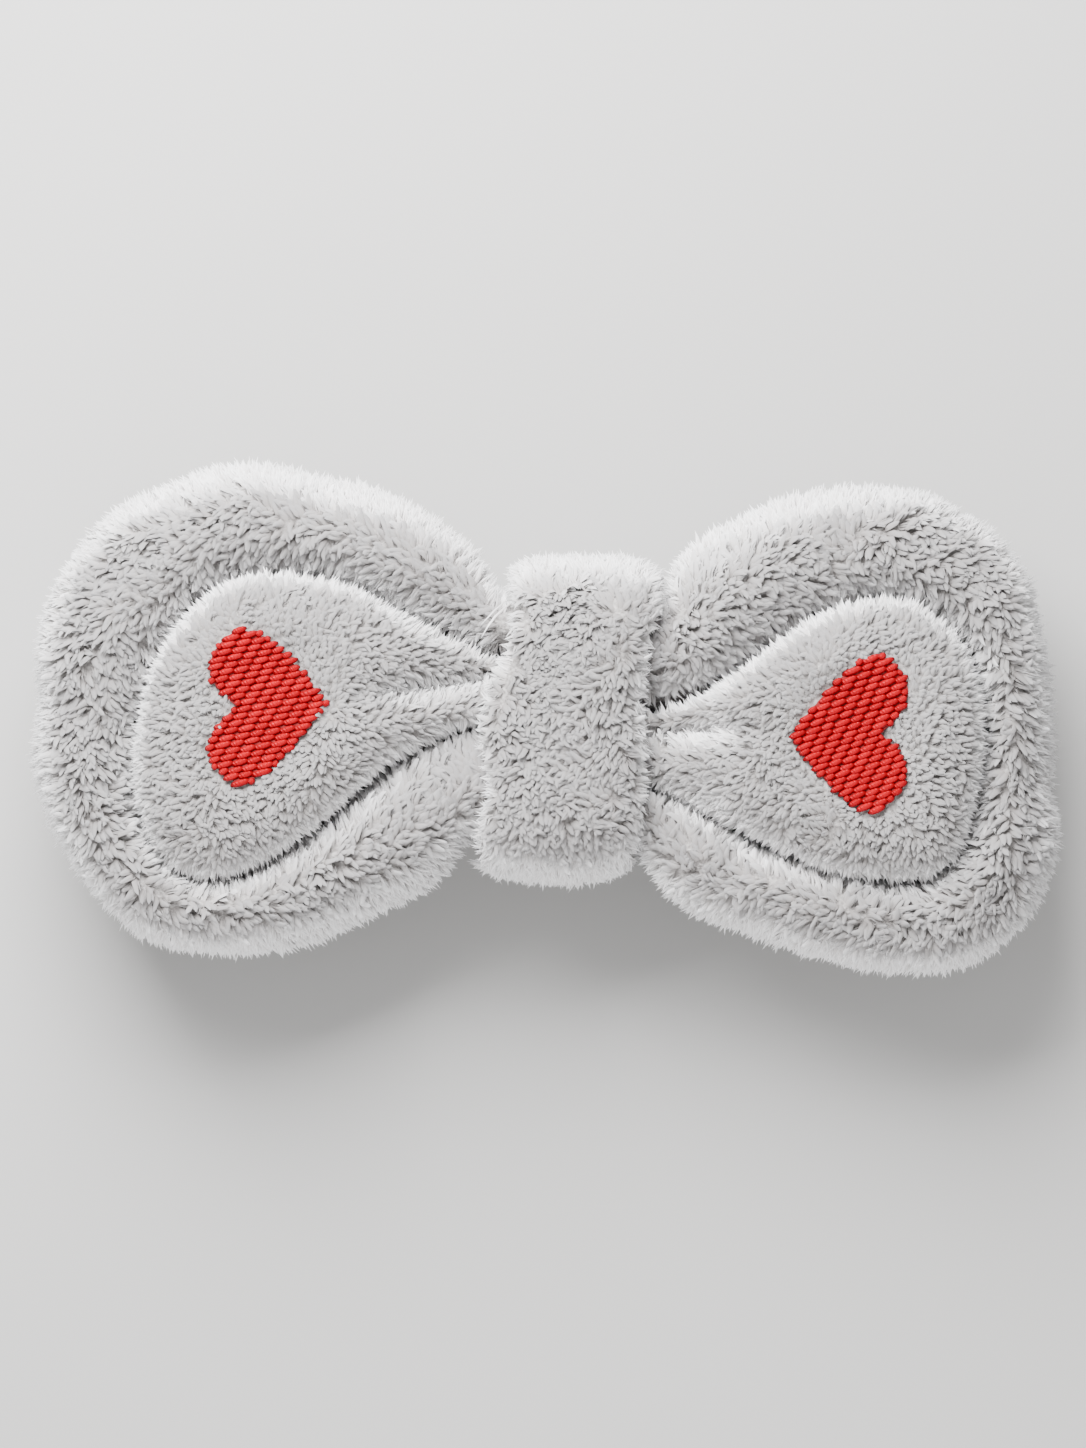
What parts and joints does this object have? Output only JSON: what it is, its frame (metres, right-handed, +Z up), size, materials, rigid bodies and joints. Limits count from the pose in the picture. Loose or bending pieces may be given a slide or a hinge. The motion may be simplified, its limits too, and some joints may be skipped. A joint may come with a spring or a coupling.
{
  "type": "heart headband",
  "caption": "Plush bow headband lying face up: padded wings with heart pads and stitched hearts, a padded knot and a closed elastic head loop.",
  "frame": {"origin": "on the table under the middle of the headband's outline", "axes": "+X to the right of the bow seen from its front, +Y to the bow's top edge, +Z up out of the bow's front"},
  "size_m": [0.2058, 0.1016, 0.0492],
  "materials": {
    "plush": "light grey coral fleece with a long curly pile",
    "thread": "red rayon embroidery thread, satin"
  },
  "bodies": {
    "root": {"head_band": "plush", "knot_wrap": "plush", "left_wing": "plush", "right_wing": "plush", "left_heart_pad": "plush", "right_heart_pad": "plush", "left_heart_embroidery": "thread", "right_heart_embroidery": "thread"}
  },
  "joints": []
}
